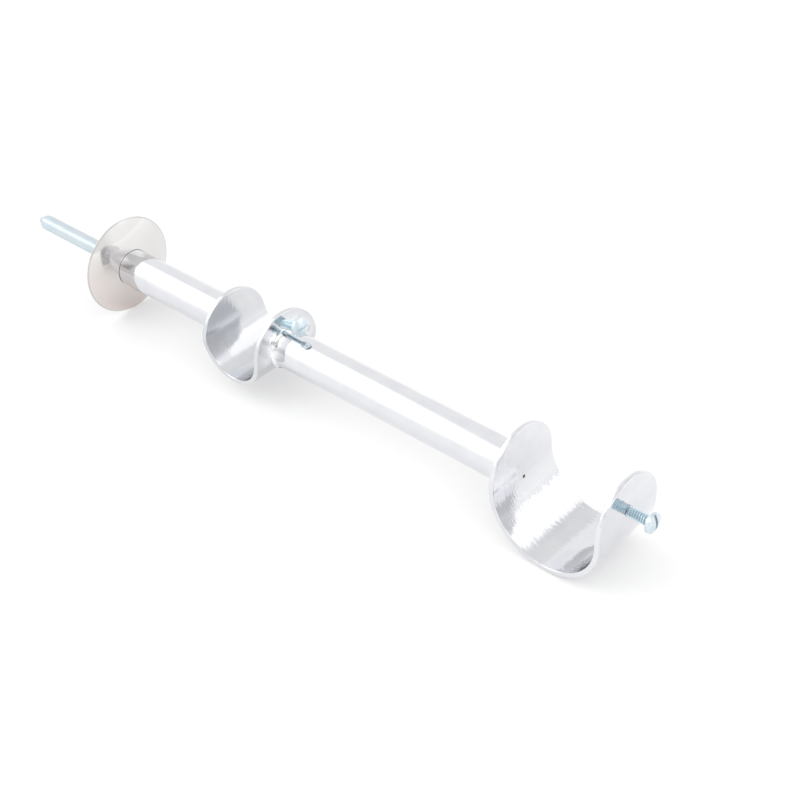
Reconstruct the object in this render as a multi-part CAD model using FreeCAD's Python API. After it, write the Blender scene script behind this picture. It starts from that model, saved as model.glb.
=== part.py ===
import FreeCAD
import Part
import math
import os

# Driving dimensions, in millimetres. +X leads from the wall along the arms, +Z is up.
# Arms
arm_d = 12.0
arm_wall = 1.0
arm_chamfer = 0.3
weld_leg = 0.6

# Wall stud and the threaded insert that holds it
stud_d = 5.0
stud_reach = 45.0
stud_grip = 12.0
stud_tip_d = 2.6
stud_tip_len = 3.0
stud_waist_d = 4.4
stud_waist_len = 3.0
stud_waist_in = 1.0
stud_bevel = 0.5
insert_len = 14.0

# Wall rose
rose_d = 32.0
rose_rise = 3.4
rose_t = 0.9
rose_clear = 0.08
rose_rim = 0.35
rose_bevel = 0.15

# Strap cups
strap_t = 1.5
strap_edge = 0.3
blank_margin = 5.0
rear_cup_x = 50.8
rear_gap = 21.0
rear_strap_w = 24.5
rear_bend_z = 0.9
rear_wall_end_z = -2.0
rear_front_end_z = -0.2
front_cup_x = 161.0
front_gap = 31.5
front_strap_w = 25.0
front_bend_z = 0.6
front_wall_end_z = 1.5
front_front_end_z = 2.4
vent_d = 1.2
vent_z = -2.0

# Clamp screws
screw_d = 3.0
screw_len = 8.0
screw_clear = 0.05
screw_proud = 0.1
screw_chamfer = 0.4
head_d = 5.6
head_h = 1.8
head_crown = 0.5
head_round = 0.25
seat_bevel = 0.1
slot_w = 0.8
slot_depth = 0.9
rear_screw_gap = 0.3
rear_screw_tilt = 14.0
rear_slot_turn = 0.0
front_screw_z = 4.8
front_screw_tilt = 0.0
front_slot_turn = 90.0

# Sizes that follow from the ones above
arm_r = arm_d / 2.0
arm_ri = arm_r - arm_wall
rose_r = rose_d / 2.0
rose_hole_r = arm_r + rose_clear
rear_inner_end = rear_cup_x + rear_gap
front_inner_end = front_cup_x + front_gap
rear_arm_len = rear_cup_x - strap_t
front_arm_start = rear_inner_end + strap_t
front_arm_len = front_cup_x - strap_t - front_arm_start
shank_half_height = screw_d / 2.0 / math.cos(math.radians(rear_screw_tilt))
rear_screw_z = arm_r + weld_leg + rear_screw_gap + shank_half_height

X = FreeCAD.Vector(1, 0, 0)
Y = FreeCAD.Vector(0, 1, 0)
O = FreeCAD.Vector(0, 0, 0)


def v(x, y, z):
    return FreeCAD.Vector(x, y, z)


# Turn a closed outline in the XZ plane about the X axis.
def turned(edges):
    face = Part.Face(Part.Wire(edges))
    return face.revolve(O, X, 360)


# Closed outline of straight edges through points given as (x, radius) pairs.
def outline(points):
    corners = [v(x, 0, r) for x, r in points]
    corners = corners + [corners[0]]
    return [Part.makeLine(a, b) for a, b in zip(corners[:-1], corners[1:])]


# Round tube along X with a small weld fillet at each end that meets a cup.
def tube(x0, length, weld_start, weld_end):
    x1 = x0 + length
    points = [(x0, arm_ri)]
    if weld_start:
        points += [(x0, arm_r + weld_leg), (x0 + weld_leg, arm_r)]
    else:
        points += [(x0, arm_r - arm_chamfer), (x0 + arm_chamfer, arm_r)]
    if weld_end:
        points += [(x1 - weld_leg, arm_r), (x1, arm_r + weld_leg)]
    else:
        points += [(x1, arm_r)]
    points += [(x1, arm_ri)]
    return turned(outline(points))


# Hanger stud: blunt tapered tip and plug thread outside, plain waist, machine thread in the insert.
def wall_stud():
    r = stud_d / 2.0
    tip = stud_tip_d / 2.0
    waist = stud_waist_d / 2.0
    waist_start = stud_waist_in - stud_waist_len
    b = stud_bevel
    points = [(-stud_reach, 0), (-stud_reach, tip - b), (-stud_reach + b, tip)]
    points += [(-stud_reach + stud_tip_len, r), (waist_start, r), (waist_start, waist)]
    points += [(stud_waist_in, waist), (stud_waist_in, r)]
    points += [(stud_grip - b, r), (stud_grip, r - b), (stud_grip, 0)]
    return turned(outline(points))


# Threaded insert pressed into the wall end of the rear arm.
def arm_insert():
    r = stud_d / 2.0
    points = [(0, r), (0, arm_ri), (insert_len, arm_ri), (insert_len, r)]
    return turned(outline(points))


# Centre and radius of the ball whose cap joins the rose's rim to the edge of its hole.
def rose_ball():
    drop = rose_rise - rose_rim
    centre = (rose_rise ** 2 - rose_rim ** 2 + rose_hole_r ** 2 - rose_r ** 2) / (2.0 * drop)
    return centre, math.hypot(rose_rim - centre, rose_r)


# Point on the dome at a radius, a given depth under its outer surface.
def dome_point(radius, depth):
    centre, ball = rose_ball()
    return (centre + math.sqrt((ball - depth) ** 2 - radius ** 2), radius)


# Shallow pressed dome, drawn in rings, with its rim on the wall and a hole that runs on the arm.
def wall_rose():
    centre, ball = rose_ball()
    foot_r = math.sqrt((ball - rose_t) ** 2 - centre ** 2)
    mid_r = (rose_hole_r + rose_r) / 2.0
    width = rose_r - rose_hole_r
    outside = [dome_point(rose_hole_r + width * share, 0) for share in (0.0, 0.25, 0.5, 0.75, 1.0)]
    rim = [(rose_bevel, rose_r), (0, rose_r - rose_bevel)]
    inside = [(0, foot_r), dome_point(mid_r, rose_t), dome_point(rose_hole_r, rose_t)]
    return turned(outline(outside + rim + inside))


# One half of the strap's blank seen along X: full width below, a half round on top.
def blank(x0, x1, width, end_z, floor_z):
    r = width / 2.0
    low = floor_z - blank_margin
    edges = [Part.makeLine(v(x0, -r, low), v(x0, r, low))]
    edges += [Part.makeLine(v(x0, r, low), v(x0, r, end_z))]
    edges += [Part.Arc(v(x0, r, end_z), v(x0, 0, end_z + r), v(x0, -r, end_z)).toShape()]
    edges += [Part.makeLine(v(x0, -r, end_z), v(x0, -r, low))]
    return Part.Face(Part.Wire(edges)).extrude(v(x1 - x0, 0, 0))


# Strap bent into a U: side profile drawn in the XZ plane, extruded across, cut to the blank.
def strap_cup(x0, gap, width, bend_z, rear_end_z, front_end_z):
    r = gap / 2.0
    cx = x0 + r
    ro = r + strap_t
    top = max(rear_end_z, front_end_z) + width
    y = -width
    edges = [Part.makeLine(v(cx - ro, y, top), v(cx - ro, y, bend_z))]
    edges += [Part.Arc(v(cx - ro, y, bend_z), v(cx, y, bend_z - ro), v(cx + ro, y, bend_z)).toShape()]
    edges += [Part.makeLine(v(cx + ro, y, bend_z), v(cx + ro, y, top))]
    edges += [Part.makeLine(v(cx + ro, y, top), v(cx + r, y, top))]
    edges += [Part.makeLine(v(cx + r, y, top), v(cx + r, y, bend_z))]
    edges += [Part.Arc(v(cx + r, y, bend_z), v(cx, y, bend_z - r), v(cx - r, y, bend_z)).toShape()]
    edges += [Part.makeLine(v(cx - r, y, bend_z), v(cx - r, y, top))]
    edges += [Part.makeLine(v(cx - r, y, top), v(cx - ro, y, top))]
    side = Part.Face(Part.Wire(edges)).extrude(v(0, 2 * width, 0))
    floor_z = bend_z - ro
    rear = blank(cx - ro - blank_margin, cx, width, rear_end_z, floor_z)
    front = blank(cx, cx + ro + blank_margin, width, front_end_z, floor_z)
    cup = side.common(rear.fuse(front).removeSplitter()).removeSplitter()
    return blunted_edges(cup, width)


# Break the strap's long edges, leaving the bend lines across it and the lines through its thickness.
def blunted_edges(cup, width):
    edges = []
    for edge in cup.Edges:
        start = edge.firstVertex().Point
        end = edge.lastVertex().Point
        along_y = abs(end.y - start.y) > width / 2.0 and edge.Curve.TypeId == "Part::GeomLine"
        through = abs(edge.Length - strap_t) < strap_edge
        if not along_y and not through:
            edges.append(edge)
    return cup.makeChamfer(strap_edge, edges)


# Hole through a cup wall along a given direction.
def drilled(cup, place, direction, radius):
    reach = 4.0 * strap_t
    start = place.sub(FreeCAD.Vector(direction).multiply(reach))
    tool = Part.makeCylinder(radius, 2 * reach, start, direction)
    return cup.cut(tool)


# Direction of a clamp screw, from its tip to its head.
def screw_dir(tilt):
    a = math.radians(tilt)
    return v(math.cos(a), 0, math.sin(a))


# Slotted pan head screw drawn along X with the seat of its head at zero.
def screw_blank(slot_turn):
    r = screw_d / 2.0
    hr = head_d / 2.0
    c = screw_chamfer
    side = head_h - head_crown
    crown = (head_h - head_crown / 4.0, hr / 2.0)
    points = [(-screw_len, 0), (-screw_len, r - c), (-screw_len + c, r), (0, r)]
    points += [(0, hr - seat_bevel), (seat_bevel, hr), (side - head_round, hr)]
    points += [(side, hr - head_round), crown, (head_h, 0)]
    screw = turned(outline(points))
    slot = Part.makeBox(head_h, 2 * head_d, slot_w, v(head_h - slot_depth, -head_d, -slot_w / 2.0))
    slot.rotate(O, X, slot_turn)
    return screw.cut(slot)


# Put a clamp screw into a cup's front wall, whose inner face is at inner_x.
def clamp_screw(inner_x, height, tilt, slot_turn):
    screw = screw_blank(slot_turn)
    through = strap_t / math.cos(math.radians(tilt))
    standoff = screw_len - through - screw_proud
    screw.rotate(O, Y, -tilt)
    seat = v(inner_x + strap_t, 0, height).add(screw_dir(tilt).multiply(standoff))
    screw.translate(seat)
    return screw


def rear_cup():
    ends = (rear_wall_end_z, rear_front_end_z)
    cup = strap_cup(rear_cup_x, rear_gap, rear_strap_w, rear_bend_z, *ends)
    cup = drilled(cup, v(rear_cup_x, 0, vent_z), X, vent_d / 2.0)
    place = v(rear_inner_end + strap_t, 0, rear_screw_z)
    return drilled(cup, place, screw_dir(rear_screw_tilt), screw_d / 2.0 + screw_clear)


def front_cup():
    ends = (front_wall_end_z, front_front_end_z)
    cup = strap_cup(front_cup_x, front_gap, front_strap_w, front_bend_z, *ends)
    cup = drilled(cup, v(front_cup_x, 0, vent_z), X, vent_d / 2.0)
    place = v(front_inner_end + strap_t, 0, front_screw_z)
    return drilled(cup, place, screw_dir(front_screw_tilt), screw_d / 2.0 + screw_clear)


nodes = {
    "wall_stud": wall_stud(),
    "arm_insert": arm_insert(),
    "wall_rose": wall_rose(),
    "rear_arm": tube(0.0, rear_arm_len, False, True),
    "rear_cup": rear_cup(),
    "rear_clamp_screw": clamp_screw(rear_inner_end, rear_screw_z, rear_screw_tilt, rear_slot_turn),
    "front_arm": tube(front_arm_start, front_arm_len, True, True),
    "front_cup": front_cup(),
    "front_clamp_screw": clamp_screw(front_inner_end, front_screw_z, front_screw_tilt, front_slot_turn),
}

os.makedirs("parts", exist_ok=True)
for name, shape in nodes.items():
    solid = shape.Solids[0]
    solid.exportStep("parts/" + name + ".step")
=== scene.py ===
import math

import bpy
from bpy.props import FloatProperty, FloatVectorProperty, IntProperty, PointerProperty
from mathutils import Matrix, Vector


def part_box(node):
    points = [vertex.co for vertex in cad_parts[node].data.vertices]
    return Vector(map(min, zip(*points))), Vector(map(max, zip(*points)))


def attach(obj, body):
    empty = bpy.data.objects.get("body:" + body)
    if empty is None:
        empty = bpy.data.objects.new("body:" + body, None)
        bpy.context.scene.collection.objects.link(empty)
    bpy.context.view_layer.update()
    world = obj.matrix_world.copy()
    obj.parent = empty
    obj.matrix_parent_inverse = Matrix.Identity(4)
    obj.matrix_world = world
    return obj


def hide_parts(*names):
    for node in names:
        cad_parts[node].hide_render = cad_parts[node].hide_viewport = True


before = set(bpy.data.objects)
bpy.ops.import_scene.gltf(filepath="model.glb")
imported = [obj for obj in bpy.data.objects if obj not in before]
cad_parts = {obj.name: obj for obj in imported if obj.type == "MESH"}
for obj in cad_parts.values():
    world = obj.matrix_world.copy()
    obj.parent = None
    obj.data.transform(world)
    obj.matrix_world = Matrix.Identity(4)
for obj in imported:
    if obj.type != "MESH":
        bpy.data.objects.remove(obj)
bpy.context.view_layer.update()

bl_info = {
    "name": "Curtain pole bracket",
    "version": (1, 0, 0),
    "blender": (4, 5, 0),
    "location": "3D View > Sidebar > Pole Bracket",
    "description": "Two-pole curtain bracket, modelled on its packed solids",
    "category": "Object",
}

FULL_TURN = 2.0 * math.pi
QUARTER_TURN = math.pi / 2.0
WELD_DISTANCE = 1e-6
ORIGIN = (0.0, 0.0, 0.0)
X_AXIS = (1.0, 0.0, 0.0)
ACROSS_X = (0.0, 1.0, 1.0)

# How finely the curved pieces are divided.
FILLET_STEPS = 8
THREAD_STEPS = 40
STRAP_END_STEPS = 40
STRAP_BEND_CUTS = 84
DRILL_STEPS = 64
DOME_STEPS = 28
CROWN_STEPS = 12
ROSE_EXTRA_STEPS = 64

# A thread ridge in shares of its pitch (half widths) and of its height (how far it is sunk).
RIDGE_FOOT = 0.46
RIDGE_LAND = 0.06
RIDGE_SUNK = 0.35
# Turns of the stud's ridge that lie inside its taper.
RIDGE_LEAD = 1.5

# Depth of the threads in shares of their pitch. The stud's is worn shallow.
STUD_THREAD_DEPTH = 0.25
SCREW_THREAD_DEPTH = 0.6

# Small breaks and roundings, in metres.
STUD_BEVEL = 0.0005
STUD_ROUNDING = 0.0001
TUBE_ROUNDING = 0.0002
INSERT_ROUNDING = 0.0003
ROSE_BEVEL = 0.00015
ROSE_RIM = 0.00035
ROSE_ROUNDING = 0.0002
SCREW_BEVEL = 0.0002
SCREW_ROUNDING = 0.00022

# Length of a clamp screw that has no ridge, and the part of it at the tip.
SCREW_PLAIN_ENDS = 0.0008
SCREW_TIP_GAP = 0.0003

# Straight side of a screw head as a share of its height, and its slot's cutter as a share of its width.
HEAD_SIDE = 0.6
SLOT_OVERRUN = 1.2

# Places along the stud: its taper ends this far from the tip, and its neck lies between these two.
STUD_TAPER = 0.003
NECK_START = -0.002
NECK_END = 0.001
NECK_SLOPE = 0.0002

# Outline of the solid that trims the stud's ridge: over its crest, and over its tip or under its neck.
TRIM_OVER = 0.00002
TRIM_TIP = 0.0001

# Depths of the vents in the cups' rear walls.
REAR_VENT_DEPTH = 0.0002
FRONT_VENT_DEPTH = 0.0008

# Share of the clouds in a plating's relief, and the range of the noise in which pits appear.
CLOUD_RELIEF = 0.6
PIT_RANGE = (0.56, 0.66)

# Scale of the clouds in the chrome, how far from a weld its marks and its painted highlight reach, and how
# much they dull it.
CHROME_CLOUDS = 160.0
WELD_MARK_REACH = 0.006
WELD_DULLING = 0.06

# Where the marks begin inside the cup's face, and up to which distance from the weld they are full.
WELD_MARK_START = (-0.0006, -0.0001)
WELD_MARK_FULL = 0.0005

# Sockets of a Mix node that blends colours.
COLOUR_A = 6
COLOUR_B = 7
BLEND = 2


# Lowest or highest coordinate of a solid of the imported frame.
def low(solid, axis):
    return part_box(solid)[0]["xyz".index(axis)]


def high(solid, axis):
    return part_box(solid)[1]["xyz".index(axis)]


# A length in metres that the panel shows in the scene's unit.
def length(name, description, default):
    return FloatProperty(name=name, description=description, default=default, min=0.0, precision=5,
                         unit="LENGTH", subtype="DISTANCE")


# A colour without alpha.
def colour(name, description, default):
    return FloatVectorProperty(name=name, description=description, default=default, size=3,
                               min=0.0, max=1.0, subtype="COLOR")


class PoleBracketSizes(bpy.types.PropertyGroup):
    """Sizes of the bracket's pieces"""
    arm_diameter: length("Arm diameter", "Outer diameter of both tubes", 0.012)
    arm_wall: length("Arm wall", "Wall thickness of both tubes", 0.001)
    weld_reach: length("Weld reach", "Reach of the fillet at a cup along the tube", 0.0017)
    weld_rise: length("Weld rise", "Height of that fillet on the cup", 0.00058)
    stud_diameter: length("Stud diameter", "Diameter over the stud's thread", 0.005)
    stud_tip: length("Stud tip diameter", "Diameter at the blunt end of the stud", 0.0026)
    stud_pitch: length("Stud pitch", "Distance between two turns of the stud's thread", 0.0008)
    waist_diameter: length("Waist diameter", "Plain neck of the stud behind the wall face", 0.0044)
    insert_length: length("Insert length", "Length of the threaded insert in the rear arm", 0.014)
    rose_rise: length("Rose rise", "Height of the dome at its hole", high("wall_rose", "x"))
    rose_sheet: length("Rose sheet", "Thickness of the rose's sheet", 0.0009)
    rose_clearance: length("Rose clearance", "Gap round the arm in the rose's hole", 0.00008)
    strap_thickness: length("Strap thickness", "Thickness of the cups' strap", 0.0015)
    strap_edge: length("Strap edge", "Rounding of the strap's edges", 0.0003)
    rear_wall_top: length("Rear cup, wall top", "Height of its wall on the wall side", 0.01025)
    rear_front_top: length("Rear cup, front top", "Height of its front wall", high("rear_cup", "z"))
    front_wall_top: length("Front cup, wall top", "Height of its wall on the wall side", 0.014)
    front_front_top: length("Front cup, front top", "Height of its front wall", high("front_cup", "z"))
    front_vent: length("Front vent", "Diameter of the open vent in the front cup", 0.001)
    rear_vent: length("Rear vent", "Diameter of the filled vent in the rear cup", 0.0009)
    vent_drop: length("Vent drop", "How far the vents sit under the arm's axis", 0.002)
    screw_diameter: length("Screw diameter", "Diameter over the clamp screws' thread", 0.003)
    screw_length: length("Screw length", "Length of a clamp screw under its head", 0.008)
    screw_pitch: length("Screw pitch", "Distance between two turns of a clamp screw's thread", 0.0007)
    screw_clearance: length("Screw clearance", "Gap round a clamp screw in its cup", 0.00005)
    screw_proud: length("Screw proud", "How far a screw's tip shows inside its cup", 0.0001)
    head_diameter: length("Head diameter", "Diameter of the clamp screws' pan heads", 0.0056)
    head_height: length("Head height", "Height of the clamp screws' pan heads", 0.0018)
    slot_width: length("Slot width", "Width of the screwdriver slot", 0.0008)
    slot_depth: length("Slot depth", "Depth of the screwdriver slot", 0.0009)
    rear_screw_height: length("Rear screw height", "Height at which the screw leaves its cup", 0.008446)
    front_screw_height: length("Front screw height", "Height of the screw over the arm's axis",
                               (low("front_clamp_screw", "z") + high("front_clamp_screw", "z")) / 2.0)
    rear_screw_tilt: FloatProperty(name="Rear screw tilt", description="Slope of the rear clamp screw",
                                   default=math.radians(14.0), unit="ROTATION", subtype="ANGLE")
    lathe_steps: IntProperty(name="Lathe steps", description="Facets round every turned piece",
                             default=128, min=16, max=256)


class PoleBracketFinish(bpy.types.PropertyGroup):
    """Colours of the bracket's finishes and of the stage"""
    chrome: colour("Chrome", "Plated steel of the arms and cups", (0.745, 0.75, 0.77))
    chrome_shade: colour("Chrome, thin plating", "Where it is thinner", (0.70, 0.705, 0.735))
    dull_chrome: colour("Dull chrome", "Less polished plating of the rear cup", (0.705, 0.71, 0.725))
    dull_chrome_shade: colour("Dull chrome, thin plating", "Where it is thinner", (0.655, 0.665, 0.69))
    # Weld bloom is a painted highlight: near-white colour round the welds.
    painted_weld_highlight: colour("Weld bloom", "Bright metal round the welds", (0.93, 0.93, 0.935))
    weld_pit: colour("Weld pits", "Dark pits in the weld bloom", (0.38, 0.39, 0.41))
    # Painted dark reflections inside the rear cup, behind its weld, in blue-grey.
    painted_dark_reflection: colour("Reflection tint", "Blue-grey tint behind the rear cup's weld", (0.64, 0.66, 0.695))
    painted_darker_reflection: colour("Reflection darkening", "Darker edge of that tint", (0.60, 0.61, 0.64))
    nickel: colour("Nickel", "Plated sheet of the rose", (0.735, 0.73, 0.72))
    nickel_cloud: colour("Nickel, cloudy", "Cloudier patches of the rose", (0.705, 0.69, 0.675))
    # The rose's pinkish, darker low side is painted reflection and painted shade.
    painted_lower_reflection: colour("Nickel, thin plating", "Where the rose's is thinner", (0.735, 0.67, 0.645))
    # The rose's darker rim is a painted dark reflection.
    painted_rim_reflection: colour("Nickel, rim", "Thin plating along the rose's rim", (0.56, 0.55, 0.54))
    zinc: colour("Zinc", "Blue passivated zinc of the screws' shanks", (0.56, 0.69, 0.76))
    zinc_shade: colour("Zinc, bloom", "Milky bloom on the zinc", (0.67, 0.76, 0.80))
    pale_zinc: colour("Pale zinc", "Paler zinc of the stud and the screw heads", (0.61, 0.695, 0.75))
    pale_zinc_shade: colour("Pale zinc, bloom", "Milky bloom on the paler zinc", (0.69, 0.75, 0.79))
    floor: colour("Floor", "Plain floor under the bracket", (0.78, 0.78, 0.78))


# One object alone, selected and active.
def pick(obj):
    bpy.ops.object.select_all(action="DESELECT")
    obj.select_set(True)
    bpy.context.view_layer.objects.active = obj


# Edit mode with every vertex selected.
def edit(obj):
    pick(obj)
    bpy.ops.object.mode_set(mode="EDIT")
    bpy.ops.mesh.select_mode(type="VERT")
    bpy.ops.mesh.select_all(action="SELECT")


def leave_edit():
    bpy.ops.object.mode_set(mode="OBJECT")


# Turn every face outwards and leave edit mode.
def close_up():
    bpy.ops.mesh.select_all(action="SELECT")
    bpy.ops.mesh.normals_make_consistent(inside=False)
    leave_edit()


# The object just added, under its own name.
def added(name):
    obj = bpy.context.active_object
    obj.name = name
    obj.data.name = name
    return obj


# Add a modifier with these settings and apply it.
def finish_with(obj, kind, **settings):
    pick(obj)
    modifier = obj.modifiers.new(kind.title(), kind)
    for name, value in settings.items():
        setattr(modifier, name, value)
    bpy.ops.object.modifier_apply(modifier=modifier.name)


def round_edges(obj, width, segments=3, angle=30.0):
    finish_with(obj, "BEVEL", width=width, segments=segments, limit_method="ANGLE",
                angle_limit=math.radians(angle), use_clamp_overlap=True)


# Cut, join or trim with a second solid, which is used up.
def combine(obj, other, operation):
    finish_with(obj, "BOOLEAN", operation=operation, solver="EXACT", object=other)
    bpy.data.objects.remove(other)


# Smooth shading that keeps flats flat and breaks at sharp corners.
def shade(obj, angle=35.0):
    pick(obj)
    bpy.ops.object.shade_smooth_by_angle(angle=math.radians(angle), keep_sharp_edges=False)
    finish_with(obj, "WEIGHTED_NORMAL", mode="FACE_AREA", weight=50, keep_sharp=True)


# Put a piece where it belongs and leave its object at the origin.
def settle(obj, location=ORIGIN, rotation=ORIGIN):
    pick(obj)
    obj.location = location
    obj.rotation_euler = rotation
    bpy.ops.object.transform_apply(location=True, rotation=True, scale=True)


# One vertex at an (x, radius) point, made from a plane.
def first_vertex(name, point):
    bpy.ops.mesh.primitive_plane_add(size=0.001, location=ORIGIN)
    obj = added(name)
    edit(obj)
    bpy.ops.mesh.merge(type="CENTER")
    bpy.ops.transform.translate(value=(point[0], 0.0, point[1]))
    return obj


# Open chain through (x, radius) points, drawn by extruding a vertex from point to point.
def draw_chain(name, points):
    obj = first_vertex(name, points[0])
    for a, b in zip(points, points[1:]):
        step = (b[0] - a[0], 0.0, b[1] - a[1])
        bpy.ops.mesh.extrude_region_move(TRANSFORM_OT_translate={"value": step})
    return obj


# Turn a chain of (x, radius) points about the X axis. A closed ring repeats its first point.
def lathe(name, points, steps):
    obj = draw_chain(name, points)
    bpy.ops.mesh.select_all(action="SELECT")
    bpy.ops.mesh.spin(steps=steps, angle=FULL_TURN, center=ORIGIN, axis=X_AXIS)
    bpy.ops.mesh.select_all(action="SELECT")
    bpy.ops.mesh.remove_doubles(threshold=WELD_DISTANCE)
    close_up()
    return obj


# Points on a circle arc of a given radius between two (x, radius) points, bulging to the left of a to b.
def arc_points(a, b, radius, count):
    a = Vector(a)
    b = Vector(b)
    half = (b - a) / 2.0
    side = Vector((-half.y, half.x)).normalized()
    rise = math.sqrt(max(radius ** 2 - half.length ** 2, 0.0))
    centre = a + half - side * rise
    start = a - centre
    sweep = 2.0 * math.asin(min(half.length / radius, 1.0))
    points = []
    for i in range(count + 1):
        turn = -sweep * i / count
        spoke = Matrix.Rotation(turn, 2) @ start
        points.append(tuple(centre + spoke))
    return points


# Solid ridge of a thread: one V of its profile swept along a helix by the Screw modifier.
def thread_ridge(name, x0, turns, root, crest, pitch):
    sunk = root - RIDGE_SUNK * (crest - root)
    foot = RIDGE_FOOT * pitch
    land = RIDGE_LAND * pitch
    ridge = draw_chain(name, [(x0 - foot, sunk), (x0 - land, crest), (x0 + land, crest), (x0 + foot, sunk)])
    bpy.ops.mesh.select_all(action="SELECT")
    bpy.ops.mesh.edge_face_add()
    leave_edit()
    finish_with(ridge, "SCREW", axis="X", screw_offset=pitch, iterations=turns, angle=FULL_TURN,
                steps=THREAD_STEPS, render_steps=THREAD_STEPS, use_merge_vertices=False,
                use_normal_calculate=True)
    edit(ridge)
    bpy.ops.mesh.select_mode(type="EDGE")
    bpy.ops.mesh.select_all(action="DESELECT")
    bpy.ops.mesh.select_non_manifold(extend=False)
    bpy.ops.mesh.edge_face_add()
    close_up()
    return ridge


# Hollow fillet from a cup, at x, out to a tube of this radius. A negative reach leads towards the wall.
def fillet(x, radius, reach, rise):
    points = []
    for i in range(FILLET_STEPS + 1):
        turn = QUARTER_TURN * i / FILLET_STEPS
        points.append((x + reach * (1.0 - math.cos(turn)), radius + rise * (1.0 - math.sin(turn))))
    return points


# Round tube along X with a weld fillet at its far end and, where it begins at a cup, at its near end.
def arm_tube(name, x0, x1, weld_start, sizes):
    r = sizes.arm_diameter / 2.0
    bore = r - sizes.arm_wall
    reach = sizes.weld_reach
    rise = sizes.weld_rise
    chain = [(x0, bore)]
    chain += fillet(x0, r, reach, rise) if weld_start else [(x0, r)]
    chain += list(reversed(fillet(x1, r, -reach, rise)))
    chain += [(x1, bore), (x0, bore)]
    return lathe(name, chain, sizes.lathe_steps)


# Drill a round hole through a piece.
def drill(obj, place, tilt, radius, reach):
    bpy.ops.mesh.primitive_cylinder_add(vertices=DRILL_STEPS, radius=radius, depth=reach, location=place,
                                        rotation=(0.0, QUARTER_TURN - tilt, 0.0))
    combine(obj, bpy.context.active_object, "DIFFERENCE")


# Strap cup: a flat blank with round ends, thickened, cut across its bend zone and bent into a U.
def strap_cup(name, solid, wall_top, front_top, vent, vent_depth, sizes):
    t = sizes.strap_thickness
    x0 = low(solid, "x")
    width = high(solid, "y") - low(solid, "y")
    layer = (high(solid, "x") - x0 - t) / 2.0
    bend_z = low(solid, "z") + layer + t / 2.0
    bend = math.pi * layer
    wall_run = wall_top - bend_z
    front_run = front_top - bend_z
    total = wall_run + bend + front_run
    bpy.ops.mesh.primitive_plane_add(size=width, location=ORIGIN, rotation=(0.0, QUARTER_TURN, 0.0))
    cup = added(name)
    settle(cup, rotation=cup.rotation_euler.copy())
    edit(cup)
    bpy.ops.transform.resize(value=(1.0, 1.0, total / width), center_override=ORIGIN)
    bpy.ops.transform.translate(value=(0.0, 0.0, (wall_run - front_run) / 2.0))
    bpy.ops.mesh.bevel(offset=width / 2.0, segments=STRAP_END_STEPS, affect="VERTICES")
    bpy.ops.mesh.select_all(action="SELECT")
    bpy.ops.mesh.remove_doubles(threshold=WELD_DISTANCE)
    leave_edit()
    finish_with(cup, "SOLIDIFY", thickness=t, offset=0.0)
    round_edges(cup, sizes.strap_edge, segments=4)
    edit(cup)
    for i in range(STRAP_BEND_CUTS + 1):
        cut_z = bend * (i / STRAP_BEND_CUTS - 0.5)
        bpy.ops.mesh.select_all(action="SELECT")
        bpy.ops.mesh.bisect(plane_co=(0.0, 0.0, cut_z), plane_no=(0.0, 0.0, 1.0))
    leave_edit()
    finish_with(cup, "SIMPLE_DEFORM", deform_method="BEND", deform_axis="Y", angle=math.pi,
                limits=(front_run / total, 1.0 - wall_run / total))
    settle(cup, location=(x0 + t / 2.0 + layer, 0.0, bend_z - layer), rotation=(0.0, -QUARTER_TURN, 0.0))
    edit(cup)
    close_up()
    drill(cup, (x0 + t, 0.0, -sizes.vent_drop), 0.0, vent / 2.0, 2.0 * vent_depth)
    return cup


# Slotted pan head screw along X, with the seat of its head at zero.
def clamp_screw(name, slot_along_y, sizes):
    crest = sizes.screw_diameter / 2.0
    root = crest - SCREW_THREAD_DEPTH * sizes.screw_pitch
    hr = sizes.head_diameter / 2.0
    hh = sizes.head_height
    side = HEAD_SIDE * hh
    tip = -sizes.screw_length
    crown_ball = (hr ** 2 + (hh - side) ** 2) / (2.0 * (hh - side))
    crown = arc_points((side, hr), (hh, 0.0), crown_ball, CROWN_STEPS)
    chain = [(tip, 0.0), (tip, root - SCREW_BEVEL), (tip + SCREW_BEVEL, root), (0.0, root), (0.0, hr)]
    chain += crown
    screw = lathe(name, chain, sizes.lathe_steps // 2)
    bpy.ops.mesh.primitive_cube_add(size=1.0, location=(hh, 0.0, 0.0))
    cutter = bpy.context.active_object
    slot_run = 2.0 * hr * SLOT_OVERRUN
    across = (slot_run, sizes.slot_width) if slot_along_y else (sizes.slot_width, slot_run)
    cutter.scale = (2.0 * sizes.slot_depth, *across)
    combine(screw, cutter, "DIFFERENCE")
    round_edges(screw, SCREW_ROUNDING, segments=4)
    turns = int((sizes.screw_length - SCREW_PLAIN_ENDS) / sizes.screw_pitch)
    ridge = thread_ridge(name + "_ridge", tip + SCREW_TIP_GAP, turns, root, crest, sizes.screw_pitch)
    combine(screw, ridge, "UNION")
    screw.data.materials.clear()
    screw.data.materials.append(blue_zinc())
    screw.data.materials.append(pale_zinc())
    for face in screw.data.polygons:
        face.material_index = 1 if face.center.x > 0.0 else 0
    return screw


# Distance from a cup's outer face to a screw's seat, along the screw.
def standoff(tilt, sizes):
    return sizes.screw_length - sizes.strap_thickness / math.cos(tilt) - sizes.screw_proud


# Node in a tree, with its settings and the constant values of its inputs.
def node(tree, kind, inputs=None, **settings):
    made = tree.nodes.new(kind)
    for key, value in settings.items():
        setattr(made, key, value)
    for key, value in (inputs or {}).items():
        made.inputs[key].default_value = value
    return made


# Links between nodes, each given as a node, its output, the next node and its input.
def connect(tree, links):
    for source, output, target, entry in links:
        tree.links.new(source.outputs[output], target.inputs[entry])


def maths(tree, operation, inputs=None):
    return node(tree, "ShaderNodeMath", inputs, operation=operation)


def vector_maths(tree, operation, inputs=None):
    return node(tree, "ShaderNodeVectorMath", inputs, operation=operation)


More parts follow.
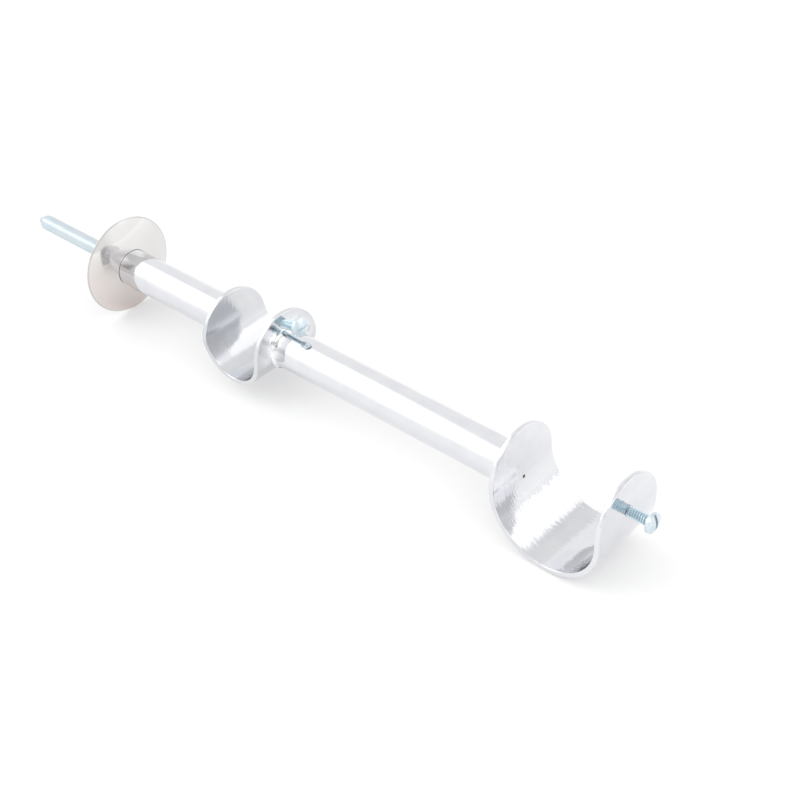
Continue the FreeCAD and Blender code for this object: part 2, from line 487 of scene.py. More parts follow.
# Node that leads softly from one value to another while its input crosses a range.
def soft_step(tree, start, end, first=0.0, last=1.0):
    return node(tree, "ShaderNodeMapRange", {"From Min": start, "From Max": end, "To Min": first,
                                             "To Max": last}, interpolation_type="SMOOTHSTEP")


def noise(tree, scale, detail, roughness=0.5):
    return node(tree, "ShaderNodeTexNoise", {"Scale": scale, "Detail": detail, "Roughness": roughness})


# Named input or output of a node group.
def socket(group, name, kind, way, default=None):
    made = group.interface.new_socket(name=name, in_out=way, socket_type="NodeSocket" + kind)
    if default is not None:
        made.default_value = default


# Node that blends a colour towards a fixed one by a mask.
def blend_to(tree, tone):
    return node(tree, "ShaderNodeMix", {COLOUR_B: (*tone, 1.0)}, data_type="RGBA")


# Group of nodes by its name, filled by its builder when it is first asked for.
def shared_group(name, build):
    found = bpy.data.node_groups.get(name)
    if found:
        return found
    tree = bpy.data.node_groups.new(name, "ShaderNodeTree")
    build(tree)
    return tree


# The finishes that the panel shows.
def finishes():
    return bpy.context.scene.pole_bracket_finish


# Shared effect: cloudy plating with long polishing streaks.
def build_plating(tree):
    socket(tree, "Colour", "Color", "INPUT")
    socket(tree, "Shade", "Color", "INPUT")
    socket(tree, "Cloud Scale", "Float", "INPUT", 120.0)
    socket(tree, "Streak Scale", "Vector", "INPUT")
    socket(tree, "Roughness", "Float", "INPUT", 0.08)
    socket(tree, "Roughness Spread", "Float", "INPUT", 0.06)
    socket(tree, "Colour", "Color", "OUTPUT")
    socket(tree, "Roughness", "Float", "OUTPUT")
    socket(tree, "Height", "Float", "OUTPUT")
    source = node(tree, "NodeGroupInput")
    result = node(tree, "NodeGroupOutput")
    place = node(tree, "ShaderNodeTexCoord")
    cloud = noise(tree, 1.0, 4.0, 0.55)
    stretch = vector_maths(tree, "MULTIPLY")
    streak = noise(tree, 1.0, 3.0, 0.6)
    mix = node(tree, "ShaderNodeMix", data_type="RGBA")
    level = node(tree, "ShaderNodeMapRange", {"From Min": 0.35, "From Max": 0.7})
    rough = maths(tree, "MULTIPLY_ADD")
    wave = maths(tree, "MULTIPLY_ADD", {1: CLOUD_RELIEF})
    connect(tree, (
        (place, "Object", cloud, "Vector"),
        (source, "Cloud Scale", cloud, "Scale"),
        (place, "Object", stretch, 0),
        (source, "Streak Scale", stretch, 1),
        (stretch, "Vector", streak, "Vector"),
        (cloud, "Fac", level, "Value"),
        (level, "Result", mix, "Factor"),
        (source, "Colour", mix, COLOUR_A),
        (source, "Shade", mix, COLOUR_B),
        (mix, BLEND, result, "Colour"),
        (streak, "Fac", rough, 0),
        (source, "Roughness Spread", rough, 1),
        (source, "Roughness", rough, 2),
        (rough, "Value", result, "Roughness"),
        (cloud, "Fac", wave, 0),
        (streak, "Fac", wave, 2),
        (wave, "Value", result, "Height"),
    ))


# Shared effect: normals tilted along the strap in fine bands, as rolling and polishing leave them.
def build_rolled_bands(tree):
    socket(tree, "Across", "Float", "INPUT", 1900.0)
    socket(tree, "Along", "Float", "INPUT", 420.0)
    socket(tree, "Lean", "Float", "INPUT", 0.3)
    socket(tree, "Normal", "Vector", "OUTPUT")
    source = node(tree, "NodeGroupInput")
    result = node(tree, "NodeGroupOutput")
    place = node(tree, "ShaderNodeTexCoord")
    surface = node(tree, "ShaderNodeNewGeometry")
    stretch = node(tree, "ShaderNodeCombineXYZ")
    spread = vector_maths(tree, "MULTIPLY")
    bands = noise(tree, 1.0, 2.0, 0.6)
    centred = vector_maths(tree, "SUBTRACT", {1: (0.5, 0.5, 0.5)})
    along = vector_maths(tree, "MULTIPLY", {1: (1.0, 0.0, 1.0)})
    patches = noise(tree, 100.0, 2.0)
    worked = node(tree, "ShaderNodeMapRange", {"From Min": 0.36, "From Max": 0.60, "To Min": 0.15})
    amount = maths(tree, "MULTIPLY")
    tilt = vector_maths(tree, "SCALE")
    lean = vector_maths(tree, "ADD")
    unit = vector_maths(tree, "NORMALIZE")
    connect(tree, (
        (source, "Along", stretch, "X"),
        (source, "Across", stretch, "Y"),
        (source, "Along", stretch, "Z"),
        (place, "Object", spread, 0),
        (stretch, "Vector", spread, 1),
        (spread, "Vector", bands, "Vector"),
        (bands, "Color", centred, 0),
        (centred, "Vector", along, 0),
        (along, "Vector", tilt, 0),
        (place, "Object", patches, "Vector"),
        (patches, "Fac", worked, "Value"),
        (source, "Lean", amount, 0),
        (worked, "Result", amount, 1),
        (amount, "Value", tilt, "Scale"),
        (surface, "Normal", lean, 0),
        (tilt, "Vector", lean, 1),
        (lean, "Vector", unit, 0),
        (unit, "Vector", result, "Normal"),
    ))


# Shared effect: a ring round each of the three welds, masking crinkled plating, dark pits and a painted
# highlight.
def build_weld_marks(tree):
    sizes = bpy.context.scene.pole_bracket_sizes
    socket(tree, "Reach", "Float", "INPUT", 0.004)
    socket(tree, "Mask", "Float", "OUTPUT")
    socket(tree, "Pits", "Float", "OUTPUT")
    socket(tree, "Height", "Float", "OUTPUT")
    source = node(tree, "NodeGroupInput")
    result = node(tree, "NodeGroupOutput")
    place = node(tree, "ShaderNodeTexCoord")
    parts = node(tree, "ShaderNodeSeparateXYZ")
    flat = vector_maths(tree, "MULTIPLY", {1: ACROSS_X})
    radius = vector_maths(tree, "LENGTH")
    ring = maths(tree, "SUBTRACT", {1: sizes.arm_diameter / 2.0})
    connect(tree, (
        (place, "Object", parts, "Vector"),
        (place, "Object", flat, 0),
        (flat, "Vector", radius, 0),
        (radius, "Value", ring, 0),
    ))
    total = None
    # Each weld's place, and the way from it along its tube.
    welds = ((high("rear_arm", "x"), -1.0), (low("front_arm", "x"), 1.0), (high("front_arm", "x"), -1.0))
    for weld_x, side in welds:
        out = maths(tree, "MULTIPLY_ADD", {1: side, 2: -side * weld_x})
        gate = soft_step(tree, *WELD_MARK_START)
        doubled = maths(tree, "MULTIPLY", {1: 2.0})
        pair = node(tree, "ShaderNodeCombineXYZ")
        away = vector_maths(tree, "LENGTH")
        fall = soft_step(tree, WELD_MARK_FULL, 1.0, 1.0, 0.0)
        both = maths(tree, "MULTIPLY")
        connect(tree, (
            (parts, "X", out, 0),
            (out, "Value", gate, "Value"),
            (out, "Value", doubled, 0),
            (doubled, "Value", pair, "X"),
            (ring, "Value", pair, "Y"),
            (pair, "Vector", away, 0),
            (away, "Value", fall, "Value"),
            (source, "Reach", fall, "From Max"),
            (gate, "Result", both, 0),
            (fall, "Result", both, 1),
        ))
        if total:
            larger = maths(tree, "MAXIMUM")
            connect(tree, ((total, "Value", larger, 0), (both, "Value", larger, 1)))
            both = larger
        total = both
    crinkle = noise(tree, 260.0, 2.0)
    relief = maths(tree, "MULTIPLY")
    specks = noise(tree, 300.0, 3.0, 0.65)
    deep = soft_step(tree, *PIT_RANGE)
    pits = maths(tree, "MULTIPLY")
    connect(tree, (
        (place, "Object", specks, "Vector"),
        (specks, "Fac", deep, "Value"),
        (deep, "Result", pits, 0),
        (total, "Value", pits, 1),
        (pits, "Value", result, "Pits"),
        (place, "Object", crinkle, "Vector"),
        (crinkle, "Fac", relief, 0),
        (total, "Value", relief, 1),
        (total, "Value", result, "Mask"),
        (relief, "Value", result, "Height"),
    ))


# Metal with cloudy plating, from the shared group.
def plated_metal(name, colour_a, colour_b, clouds, streaks, rough, spread, bump):
    material = bpy.data.materials.new(name)
    material.use_nodes = True
    tree = material.node_tree
    shader = tree.nodes["Principled BSDF"]
    shader.inputs["Metallic"].default_value = 1.0
    values = {"Colour": (*colour_a, 1.0), "Shade": (*colour_b, 1.0), "Cloud Scale": clouds,
              "Streak Scale": streaks, "Roughness": rough, "Roughness Spread": spread}
    group = shared_group("Plating", build_plating)
    plating = node(tree, "ShaderNodeGroup", values, name="Plating", node_tree=group)
    relief = node(tree, "ShaderNodeBump", {"Strength": 1.0, "Distance": bump}, name="Relief")
    connect(tree, (
        (plating, "Colour", shader, "Base Color"),
        (plating, "Roughness", shader, "Roughness"),
        (plating, "Height", relief, "Height"),
        (relief, "Normal", shader, "Normal"),
    ))
    return material


# Chrome with crinkled weld marks, a painted highlight round each weld and, on a strap, rolled bands.
def welded_chrome(name, colour_a, colour_b, streaks, rough, spread, bump, crinkle, lean):
    found = bpy.data.materials.get(name)
    if found:
        return found
    look = finishes()
    material = plated_metal(name, colour_a, colour_b, CHROME_CLOUDS, streaks, rough, spread, bump)
    tree = material.node_tree
    shader = tree.nodes["Principled BSDF"]
    plating = tree.nodes["Plating"]
    relief = tree.nodes["Relief"]
    group = shared_group("Weld marks", build_weld_marks)
    marks = node(tree, "ShaderNodeGroup", {"Reach": WELD_MARK_REACH}, node_tree=group)
    heights = maths(tree, "MULTIPLY_ADD", {1: crinkle / bump})
    dull = maths(tree, "MULTIPLY_ADD", {1: WELD_DULLING})
    # Near-white colour round each weld: a painted highlight.
    bloom = blend_to(tree, look.painted_weld_highlight)
    pitted = blend_to(tree, look.weld_pit)
    connect(tree, (
        (marks, "Mask", bloom, "Factor"),
        (plating, "Colour", bloom, COLOUR_A),
        (marks, "Pits", pitted, "Factor"),
        (bloom, BLEND, pitted, COLOUR_A),
        (pitted, BLEND, shader, "Base Color"),
        (marks, "Height", heights, 0),
        (plating, "Height", heights, 2),
        (heights, "Value", relief, "Height"),
        (marks, "Mask", dull, 0),
        (plating, "Roughness", dull, 2),
        (dull, "Value", shader, "Roughness"),
    ))
    if lean:
        group = shared_group("Rolled bands", build_rolled_bands)
        rolled = node(tree, "ShaderNodeGroup", {"Lean": lean}, node_tree=group)
        connect(tree, ((rolled, "Normal", relief, "Normal"),))
    return material


def arm_chrome():
    look = finishes()
    return welded_chrome("Chrome on the arms", look.chrome, look.chrome_shade, streaks=(60.0, 900.0, 60.0),
                         rough=0.04, spread=0.06, bump=0.00001, crinkle=0.00004, lean=0.0)


# Painted dark reflections on the inner face behind the rear weld: finish, centre in Y and Z, full radius
# and outer radius.
PAINTED_REFLECTIONS = (
    ("painted_dark_reflection", -0.0052, 0.0022, 0.0056, 0.0082),
    ("painted_darker_reflection", -0.0090, -0.0034, 0.0030, 0.0056),
)
# Where they fade, measured from that face, how far their edges wander, and how much haze they add.
REFLECTION_FADE = (0.005, 0.009)
REFLECTION_WANDER = 0.004
REFLECTION_HAZE = 0.16


# Duller chrome, with soft blue-grey painted dark reflections on the wall behind the rear arm's weld.
def rear_cup_chrome():
    name = "Chrome on the rear cup"
    found = bpy.data.materials.get(name)
    if found:
        return found
    look = finishes()
    material = welded_chrome(name, look.dull_chrome, look.dull_chrome_shade, streaks=(120.0, 900.0, 120.0),
                             rough=0.08, spread=0.10, bump=0.00002, crinkle=0.00014, lean=0.12)
    tree = material.node_tree
    shader = tree.nodes["Principled BSDF"]
    before = shader.inputs["Base Color"].links[0].from_socket
    inside = high("rear_arm", "x") + bpy.context.scene.pole_bracket_sizes.strap_thickness
    place = node(tree, "ShaderNodeTexCoord")
    parts = node(tree, "ShaderNodeSeparateXYZ")
    wall = soft_step(tree, inside + REFLECTION_FADE[0], inside + REFLECTION_FADE[1], 1.0, 0.0)
    flat = vector_maths(tree, "MULTIPLY", {1: ACROSS_X})
    drift = noise(tree, 260.0, 3.0)
    edge = maths(tree, "MULTIPLY_ADD", {1: REFLECTION_WANDER, 2: -REFLECTION_WANDER / 2.0})
    connect(tree, (
        (place, "Object", parts, "Vector"),
        (parts, "X", wall, "Value"),
        (place, "Object", flat, 0),
        (place, "Object", drift, "Vector"),
        (drift, "Fac", edge, 0),
    ))
    # Each mark paints a dark reflection into the base colour.
    for finish, y, z, near, far in PAINTED_REFLECTIONS:
        away = vector_maths(tree, "DISTANCE", {1: (0.0, y, z)})
        reach = maths(tree, "ADD")
        tint = soft_step(tree, near, far, 1.0, 0.0)
        inner = maths(tree, "MULTIPLY")
        reflection_painted = blend_to(tree, getattr(look, finish))
        connect(tree, (
            (flat, "Vector", away, 0),
            (edge, "Value", reach, 0),
            (away, "Value", reach, 1),
            (reach, "Value", tint, "Value"),
            (tint, "Result", inner, 0),
            (wall, "Result", inner, 1),
            (inner, "Value", reflection_painted, "Factor"),
        ))
        tree.links.new(before, reflection_painted.inputs[COLOUR_A])
        before = reflection_painted.outputs[BLEND]
    tree.links.new(before, shader.inputs["Base Color"])
    hazy = maths(tree, "MULTIPLY_ADD", {1: REFLECTION_HAZE})
    tree.links.new(shader.inputs["Roughness"].links[0].from_socket, hazy.inputs[2])
    connect(tree, ((inner, "Value", hazy, 0), (hazy, "Value", shader, "Roughness")))
    return material


def front_cup_chrome():
    look = finishes()
    return welded_chrome("Chrome on the front cup", look.chrome, look.chrome_shade,
                         streaks=(120.0, 1800.0, 120.0), rough=0.04, spread=0.06, bump=0.00002,
                         crinkle=0.0002, lean=0.34)


# Width of the rose's darker rim (a painted dark reflection), the way towards the dome's low side, where
# painted reflection and shade gather, and where that begins and ends.
RIM_OUTSIDE = 0.0001
RIM_INSIDE = 0.0006
LOWER_SIDE_WAY = (0.0, -0.5, -0.85)
LOWER_SIDE_RANGE = (-0.004, 0.021)
LOWER_SIDE_WANDER = 0.012


# Nickel of the rose: pinkish and darker low on the dome, painted reflection and shade, and darker along the
# rim, a painted dark reflection.
def rose_nickel():
    look = finishes()
    material = plated_metal("Nickel on the rose", look.nickel, look.nickel_cloud, clouds=90.0,
                            streaks=(200.0, 200.0, 200.0), rough=0.07, spread=0.06, bump=0.00001)
    tree = material.node_tree
    shader = tree.nodes["Principled BSDF"]
    rim_r = high("wall_rose", "z")
    place = node(tree, "ShaderNodeTexCoord")
    flat = vector_maths(tree, "MULTIPLY", {1: ACROSS_X})
    radius = vector_maths(tree, "LENGTH")
    # Mask for the darker rim, a painted dark reflection.
    rim = soft_step(tree, rim_r - RIM_INSIDE, rim_r - RIM_OUTSIDE)
    towards = vector_maths(tree, "DOT_PRODUCT", {1: LOWER_SIDE_WAY})
    drift = noise(tree, 110.0, 3.0)
    lower = maths(tree, "MULTIPLY_ADD", {1: LOWER_SIDE_WANDER})
    # Mask for the pinkish, darker low side: painted reflection and shade.
    thin = soft_step(tree, *LOWER_SIDE_RANGE)
    lower_reflection_blend = blend_to(tree, look.painted_lower_reflection)
    # Blend towards the rim's painted dark reflection.
    worn = blend_to(tree, look.painted_rim_reflection)
    plating = tree.nodes["Plating"]
    connect(tree, (
        (place, "Object", flat, 0),
        (flat, "Vector", radius, 0),
        (radius, "Value", rim, "Value"),
        (place, "Object", towards, 0),
        (place, "Object", drift, "Vector"),
        (drift, "Fac", lower, 0),
        (towards, "Value", lower, 2),
        (lower, "Value", thin, "Value"),
        (thin, "Result", lower_reflection_blend, "Factor"),
        (plating, "Colour", lower_reflection_blend, COLOUR_A),
        (rim, "Result", worn, "Factor"),
        (lower_reflection_blend, BLEND, worn, COLOUR_A),
        (worn, BLEND, shader, "Base Color"),
    ))
    return material


# Zinc with a milky bloom, shared by the pieces that have it.
def zinc_finish(name, colour_a, colour_b, **settings):
    return bpy.data.materials.get(name) or plated_metal(name, colour_a, colour_b, **settings)


def blue_zinc():
    look = finishes()
    return zinc_finish("Blue zinc", look.zinc, look.zinc_shade, clouds=700.0,
                       streaks=(900.0, 900.0, 900.0), rough=0.16, spread=0.15, bump=0.00001)


def pale_zinc():
    look = finishes()
    return zinc_finish("Pale zinc", look.pale_zinc, look.pale_zinc_shade, clouds=500.0,
                       streaks=(700.0, 700.0, 700.0), rough=0.18, spread=0.15, bump=0.00001)


# Pale zinc of the stud: the same finish, worn even, with broad soft clouds.
def stud_zinc():
    look = finishes()
    return zinc_finish("Zinc on the stud", look.pale_zinc, look.pale_zinc_shade, clouds=110.0,
                       streaks=(150.0, 400.0, 400.0), rough=0.28, spread=0.10, bump=0.000002)


# Put a finished piece under its body, hide the node that it stands for, and give it a material if it has
# none.
def deliver(obj, material, body, stands_for):
    if material:
        obj.data.materials.clear()
        obj.data.materials.append(material)
    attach(obj, body)
    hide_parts(stands_for)


class POLEBRACKET_OT_wall_stud(bpy.types.Operator):
    """Hanger stud with a rolled thread, a plain waist and a blunt tip"""
    bl_idname = "polebracket.wall_stud"
    bl_label = "Wall Stud"

    def execute(self, context):
        sizes = context.scene.pole_bracket_sizes
        crest = sizes.stud_diameter / 2.0
        root = crest - STUD_THREAD_DEPTH * sizes.stud_pitch
        tip = sizes.stud_tip / 2.0
        waist = sizes.waist_diameter / 2.0
        x0 = low("wall_stud", "x")
        x1 = high("wall_stud", "x")
        full = x0 + STUD_TAPER
        chain = [(x0, 0.0), (x0, tip - STUD_BEVEL), (x0 + STUD_BEVEL, tip), (full, root)]
        chain += [(NECK_START - NECK_SLOPE, root), (NECK_START, waist)]
        chain += [(NECK_END, waist), (NECK_END + NECK_SLOPE, root)]
        chain += [(x1 - STUD_BEVEL, root), (x1, root - STUD_BEVEL), (x1, 0.0)]
        stud = lathe("wall_stud_rod", chain, sizes.lathe_steps // 2)
        round_edges(stud, STUD_ROUNDING, segments=2)
        # The ridge runs into the taper and into the neck's slope, and is then trimmed to them.
        turns = int((NECK_START - 3.0 * NECK_SLOPE - full) / sizes.stud_pitch) + 2
        start = full - RIDGE_LEAD * sizes.stud_pitch
        ridge = thread_ridge("wall_stud_ridge", start, turns, root, crest, sizes.stud_pitch)
        over = crest + TRIM_OVER
        trim = [(x0, 0.0), (x0, tip + TRIM_TIP), (full, over), (NECK_START - 2.0 * NECK_SLOPE, over)]
        trim += [(NECK_START, waist - TRIM_TIP), (NECK_START, 0.0)]
        combine(ridge, lathe("wall_stud_trim", trim, sizes.lathe_steps // 2), "INTERSECT")
        combine(stud, ridge, "UNION")
        shade(stud, angle=50.0)
        deliver(stud, stud_zinc(), "bracket", "wall_stud")
        return {"FINISHED"}


class POLEBRACKET_OT_arm_insert(bpy.types.Operator):
    """Threaded insert in the wall end of the rear arm"""
    bl_idname = "polebracket.arm_insert"
    bl_label = "Arm Insert"

    def execute(self, context):
        sizes = context.scene.pole_bracket_sizes
        bore = sizes.stud_diameter / 2.0
        outer = sizes.arm_diameter / 2.0 - sizes.arm_wall
        end = sizes.insert_length
        chain = [(0.0, bore), (0.0, outer), (end, outer), (end, bore), (0.0, bore)]
        insert = lathe("arm_insert_bush", chain, sizes.lathe_steps)
        round_edges(insert, INSERT_ROUNDING)
        shade(insert)
        deliver(insert, blue_zinc(), "bracket", "arm_insert")
        return {"FINISHED"}


class POLEBRACKET_OT_wall_rose(bpy.types.Operator):
    """Shallow pressed dome that slides on the rear arm"""
    bl_idname = "polebracket.wall_rose"
    bl_label = "Wall Rose"

    def execute(self, context):
        sizes = context.scene.pole_bracket_sizes
        rim_r = high("wall_rose", "z")
        hole = sizes.arm_diameter / 2.0 + sizes.rose_clearance
        rise = sizes.rose_rise
        centre = (rise ** 2 - ROSE_RIM ** 2 + hole ** 2 - rim_r ** 2) / (2.0 * (rise - ROSE_RIM))
        ball = math.hypot(ROSE_RIM - centre, rim_r)
        inner = ball - sizes.rose_sheet
        under = (centre + math.sqrt(inner ** 2 - hole ** 2), hole)
        foot = (0.0, math.sqrt(inner ** 2 - centre ** 2))
        chain = [(0.0, rim_r - ROSE_BEVEL), (ROSE_BEVEL, rim_r)]
        chain += arc_points((ROSE_RIM, rim_r), (rise, hole), ball, DOME_STEPS)
        chain += list(reversed(arc_points(foot, under, inner, DOME_STEPS)))
        chain += [chain[0]]
        rose = lathe("wall_rose_dome", chain, sizes.lathe_steps + ROSE_EXTRA_STEPS)
        round_edges(rose, ROSE_ROUNDING, segments=4, angle=40.0)
        shade(rose)
        deliver(rose, rose_nickel(), "rose", "wall_rose")
        return {"FINISHED"}


class POLEBRACKET_OT_arms(bpy.types.Operator):
    """Two round tubes, welded to the cups"""
    bl_idname = "polebracket.arms"
    bl_label = "Arms"

    def execute(self, context):
        sizes = context.scene.pole_bracket_sizes
        for name, solid, weld_start in (("rear_arm_tube", "rear_arm", False),
                                        ("front_arm_tube", "front_arm", True)):
            tube = arm_tube(name, low(solid, "x"), high(solid, "x"), weld_start, sizes)
            if not weld_start:
                round_edges(tube, TUBE_ROUNDING, angle=60.0)
            shade(tube, angle=40.0)
            deliver(tube, arm_chrome(), "bracket", solid)
        return {"FINISHED"}


class POLEBRACKET_OT_cups(bpy.types.Operator):
    """Two straps bent into cups, each with a vent and a hole for its clamp screw"""
    bl_idname = "polebracket.cups"
    bl_label = "Cups"

    def execute(self, context):
        sizes = context.scene.pole_bracket_sizes
        hole = sizes.screw_diameter / 2.0 + sizes.screw_clearance
        reach = 4.0 * sizes.strap_thickness
        rear = strap_cup("rear_cup_strap", "rear_cup", sizes.rear_wall_top, sizes.rear_front_top,
                         sizes.rear_vent, REAR_VENT_DEPTH, sizes)
        place = (high("rear_cup", "x"), 0.0, sizes.rear_screw_height)
        drill(rear, place, sizes.rear_screw_tilt, hole, reach)
        front = strap_cup("front_cup_strap", "front_cup", sizes.front_wall_top, sizes.front_front_top,
                          sizes.front_vent, FRONT_VENT_DEPTH, sizes)
        drill(front, (high("front_cup", "x"), 0.0, sizes.front_screw_height), 0.0, hole, reach)
        for cup, solid, finish in ((rear, "rear_cup", rear_cup_chrome()),
                                   (front, "front_cup", front_cup_chrome())):
            shade(cup, angle=30.0)
            deliver(cup, finish, "bracket", solid)
        return {"FINISHED"}


class POLEBRACKET_OT_clamp_screws(bpy.types.Operator):
    """Slotted pan head screws that clamp the poles in the cups"""
    bl_idname = "polebracket.clamp_screws"
    bl_label = "Clamp Screws"

    def execute(self, context):
        sizes = context.scene.pole_bracket_sizes
        rear = ("rear_screw_slotted", True, "rear_cup", sizes.rear_screw_height, sizes.rear_screw_tilt,
                "rear_screw", "rear_clamp_screw")
        front = ("front_screw_slotted", False, "front_cup", sizes.front_screw_height, 0.0,
                 "front_screw", "front_clamp_screw")
        for name, slot_along_y, cup, height, tilt, body, solid in (rear, front):
            screw = clamp_screw(name, slot_along_y, sizes)
            away = standoff(tilt, sizes)
            seat = (high(cup, "x") + away * math.cos(tilt), 0.0, height + away * math.sin(tilt))
            settle(screw, location=seat, rotation=(0.0, -tilt, 0.0))
            shade(screw, angle=50.0)
            deliver(screw, None, body, solid)
        return {"FINISHED"}


CAMERA_AZIMUTH = math.radians(44.945)
CAMERA_ELEVATION = math.radians(38.933)
CAMERA_ROLL = math.radians(-4.707)
CAMERA_PLACE = (0.338441, -0.220841, 0.254285)
CAMERA_LENS = 65.584
CAMERA_SENSOR = 36.0
FLOOR_HALF = 4.0
FLOOR_GAP = 0.00005
STAGE_CENTRE = (0.09, 0.0, 0.0)
# Range in X over which the floor turns paler, its share of full tone before it (painted shade), and its own
# light.
FLOOR_RANGE = (-0.12, 0.12)
FLOOR_PAINTED_SHADE = 0.88
FLOOR_GLOW = 0.2
STUDIO_LEVEL = 1.0
KEY_PLACE = (-0.5, -0.55, 0.75)
KEY_SIZE = 0.6
KEY_POWER = 1.2
# Azimuth, elevation, half width, half height (degrees), edge, and the light that each panel adds or takes.
STUDIO_PANELS = (
    (-152.0, 39.0, 24.0, 19.0, 0.25, 0.58),
    (-124.0, 10.0, 12.0, 6.0, 0.18, 0.22),
    (48.0, 34.0, 16.0, 18.0, 0.16, 0.42),
    (42.0, 12.0, 24.0, 8.0, 0.30, 0.18),
    (-34.0, 42.0, 18.0, 14.0, 0.25, 0.55),
    (130.0, 25.0, 40.0, 30.0, 0.30, 0.08),
    (-68.0, 40.0, 8.0, 16.0, 0.12, -0.45),
    (106.0, 50.0, 13.0, 6.0, 0.10, -0.14),
)


# Camera at the photograph's angle.
def place_camera():
    az, el, roll = CAMERA_AZIMUTH, CAMERA_ELEVATION, CAMERA_ROLL
    back = Vector((math.sin(az) * math.cos(el), -math.cos(az) * math.cos(el), math.sin(el)))
    level = Vector((math.cos(az), math.sin(az), 0.0))
    up = back.cross(level)
    right = level * math.cos(roll) + up * math.sin(roll)
    up = up * math.cos(roll) - level * math.sin(roll)
    data = bpy.data.cameras.new("Camera")
    data.lens = CAMERA_LENS
    data.sensor_width = CAMERA_SENSOR
    data.clip_start = 0.01
    camera = bpy.data.objects.new("Camera", data)
    bpy.context.scene.collection.objects.link(camera)
    turn = Matrix((right, up, back)).transposed().to_4x4()
    camera.matrix_world = Matrix.Translation(CAMERA_PLACE) @ turn
    bpy.context.scene.camera = camera


# Pale floor, white in the picture and in the metal, with painted shade that greys it towards the wall end,
# and a soft shadow.
def floor_material(look):
    material = bpy.data.materials.new("Pale floor")
    material.use_nodes = True
    tree = material.node_tree
    tree.nodes.clear()
    out = node(tree, "ShaderNodeOutputMaterial")
    paint = node(tree, "ShaderNodeBsdfDiffuse")
    glow = node(tree, "ShaderNodeEmission", {"Color": (1.0, 1.0, 1.0, 1.0)})
    place = node(tree, "ShaderNodeTexCoord")
    parts = node(tree, "ShaderNodeSeparateXYZ")
    side = soft_step(tree, *FLOOR_RANGE, FLOOR_PAINTED_SHADE)
    tone = vector_maths(tree, "SCALE", {0: look.floor})
    away = vector_maths(tree, "DISTANCE", {1: STAGE_CENTRE})
    rise = node(tree, "ShaderNodeMapRange", {"From Min": 0.03, "From Max": 0.6,
                                             "To Min": 0.20, "To Max": 0.34})
    path = node(tree, "ShaderNodeLightPath")
    mirrored = maths(tree, "MULTIPLY")
    seen = maths(tree, "MULTIPLY_ADD", {1: FLOOR_GLOW})
    both = node(tree, "ShaderNodeAddShader")
    connect(tree, (
        (place, "Object", parts, "Vector"),
        (parts, "X", side, "Value"),
        (side, "Result", tone, "Scale"),
        (tone, "Vector", paint, "Color"),
        (place, "Object", away, 0),
        (away, "Value", rise, "Value"),
        (path, "Is Glossy Ray", mirrored, 0),
        (rise, "Result", mirrored, 1),
        (path, "Is Camera Ray", seen, 0),
        (mirrored, "Value", seen, 2),
        (seen, "Value", glow, "Strength"),
        (paint, "BSDF", both, 0),
        (glow, "Emission", both, 1),
        (both, "Shader", out, "Surface"),
    ))
    return material


# Panel of the studio, as a mask over directions: 1 inside, falling to 0 over a soft edge.
def panel_mask(tree, place, azimuth, elevation, half_width, half_height, edge):
    turned = node(tree, "ShaderNodeVectorRotate", {"Angle": -math.radians(azimuth)}, rotation_type="Z_AXIS")
    level = node(tree, "ShaderNodeVectorRotate", {"Angle": math.radians(elevation)}, rotation_type="Y_AXIS")
    parts = node(tree, "ShaderNodeSeparateXYZ")
    mask = maths(tree, "GREATER_THAN", {1: 0.0})
    connect(tree, (
        (place, "Generated", turned, "Vector"),
        (turned, "Vector", level, "Vector"),
        (level, "Vector", parts, "Vector"),
        (parts, "X", mask, 0),
    ))
    for side, half in (("Y", half_width), ("Z", half_height)):
        slope = maths(tree, "DIVIDE")
        across = maths(tree, "ABSOLUTE")
        reach = math.tan(math.radians(half))
        fall = soft_step(tree, reach, reach + edge, 1.0, 0.0)
        both = maths(tree, "MULTIPLY")
        connect(tree, (
            (parts, side, slope, 0),
            (parts, "X", slope, 1),
            (slope, "Value", across, 0),
            (across, "Value", fall, "Value"),
            (mask, "Value", both, 0),
            (fall, "Result", both, 1),
        ))
        mask = both
    return mask


# Soft studio: white for the camera, and an even tent with lighter and darker panels for light and metal.
def studio_world():
    world = bpy.data.worlds.new("Studio")
    bpy.context.scene.world = world
    world.use_nodes = True
    tree = world.node_tree
    tree.nodes.clear()
    out = node(tree, "ShaderNodeOutputWorld")
    back = node(tree, "ShaderNodeBackground", {"Color": (1.0, 1.0, 1.0, 1.0)})
    place = node(tree, "ShaderNodeTexCoord")
    level = None
    for *shape, gain in STUDIO_PANELS:
        mask = panel_mask(tree, place, *shape)
        add = maths(tree, "MULTIPLY_ADD", {1: gain, 2: STUDIO_LEVEL})
        connect(tree, ((mask, "Value", add, 0),))
        if level:
            connect(tree, ((level, "Value", add, 2),))
        level = add
    path = node(tree, "ShaderNodeLightPath")
    power = node(tree, "ShaderNodeMix", {"B": 1.0}, data_type="FLOAT")
    connect(tree, (
        (path, "Is Camera Ray", power, "Factor"),
        (level, "Value", power, "A"),
        (power, "Result", back, "Strength"),
        (back, "Background", out, "Surface"),
    ))


# Soft lamp that looks at a point.
def soft_lamp(name, place, target, size, power):
    data = bpy.data.lights.new(name, "AREA")
    data.shape = "SQUARE"
    data.size = size
    data.energy = power
    lamp = bpy.data.objects.new(name, data)
    bpy.context.scene.collection.objects.link(lamp)
    aim = (Vector(target) - Vector(place)).to_track_quat("-Z", "Y")
    lamp.matrix_world = Matrix.Translation(place) @ aim.to_matrix().to_4x4()


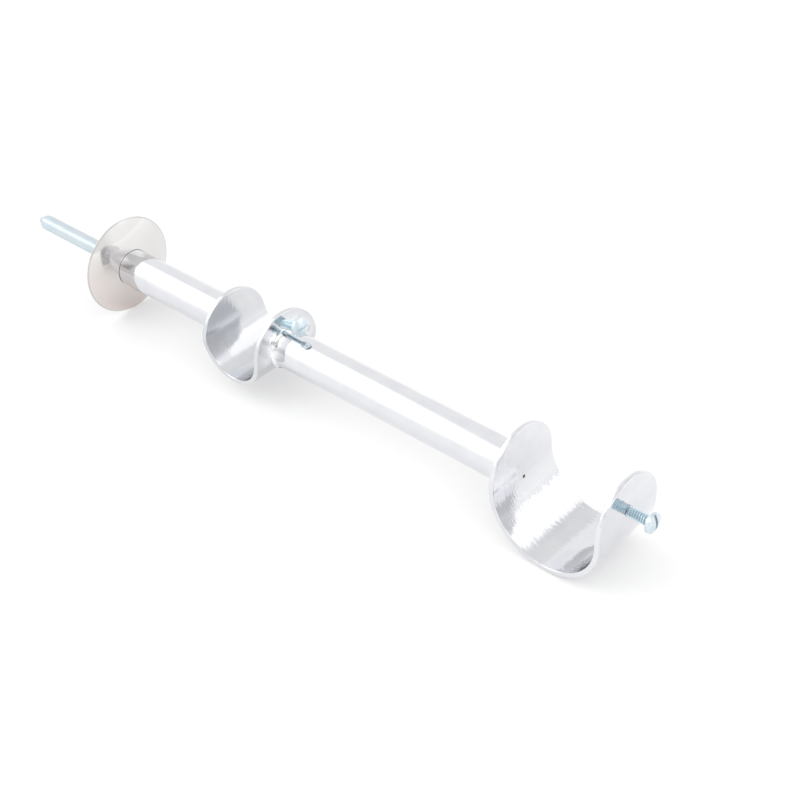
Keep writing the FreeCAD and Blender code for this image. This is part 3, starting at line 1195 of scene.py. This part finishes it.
class POLEBRACKET_OT_stage(bpy.types.Operator):
    """Pale floor, soft studio light and the camera"""
    bl_idname = "polebracket.stage"
    bl_label = "Stage"

    def execute(self, context):
        look = context.scene.pole_bracket_finish
        place_camera()
        studio_world()
        # The floor leans so that the rose and the front cup both rest on it.
        cup_x = (low("front_cup", "x") + high("front_cup", "x")) / 2.0
        cup_z = low("front_cup", "z")
        rose_z = low("wall_rose", "z")
        slope = math.atan2(rose_z - cup_z, cup_x)
        bpy.ops.mesh.primitive_plane_add(size=2.0 * FLOOR_HALF, location=(0.0, 0.0, rose_z - FLOOR_GAP),
                                         rotation=(0.0, slope, 0.0))
        floor = context.active_object
        floor.name = "floor"
        bpy.ops.object.transform_apply(location=True, rotation=True, scale=True)
        floor.data.materials.append(floor_material(look))
        soft_lamp("Key lamp", KEY_PLACE, STAGE_CENTRE, KEY_SIZE, KEY_POWER)
        context.scene.view_settings.view_transform = "Standard"
        return {"FINISHED"}


PIECE_OPERATORS = (
    POLEBRACKET_OT_wall_stud,
    POLEBRACKET_OT_arm_insert,
    POLEBRACKET_OT_wall_rose,
    POLEBRACKET_OT_arms,
    POLEBRACKET_OT_cups,
    POLEBRACKET_OT_clamp_screws,
    POLEBRACKET_OT_stage,
)


class POLEBRACKET_PT_panel(bpy.types.Panel):
    """Sizes, finishes and pieces of the bracket"""
    bl_idname = "POLEBRACKET_PT_panel"
    bl_label = "Pole Bracket"
    bl_space_type = "VIEW_3D"
    bl_region_type = "UI"
    bl_category = "Pole Bracket"

    def draw(self, context):
        layout = self.layout
        for group in (context.scene.pole_bracket_sizes, context.scene.pole_bracket_finish):
            column = layout.column(align=True)
            for name in group.__annotations__:
                column.prop(group, name)
        for operator in PIECE_OPERATORS:
            layout.operator(operator.bl_idname)


CLASSES = (PoleBracketSizes, PoleBracketFinish, *PIECE_OPERATORS, POLEBRACKET_PT_panel)


def register():
    for cls in CLASSES:
        bpy.utils.register_class(cls)
    bpy.types.Scene.pole_bracket_sizes = PointerProperty(type=PoleBracketSizes)
    bpy.types.Scene.pole_bracket_finish = PointerProperty(type=PoleBracketFinish)


def unregister():
    del bpy.types.Scene.pole_bracket_finish
    del bpy.types.Scene.pole_bracket_sizes
    for cls in reversed(CLASSES):
        bpy.utils.unregister_class(cls)


def main():
    register()
    for step in (bpy.ops.polebracket.stage, bpy.ops.polebracket.wall_stud, bpy.ops.polebracket.arm_insert,
                 bpy.ops.polebracket.wall_rose, bpy.ops.polebracket.arms, bpy.ops.polebracket.cups,
                 bpy.ops.polebracket.clamp_screws):
        step()


if __name__ == "__main__":
    main()
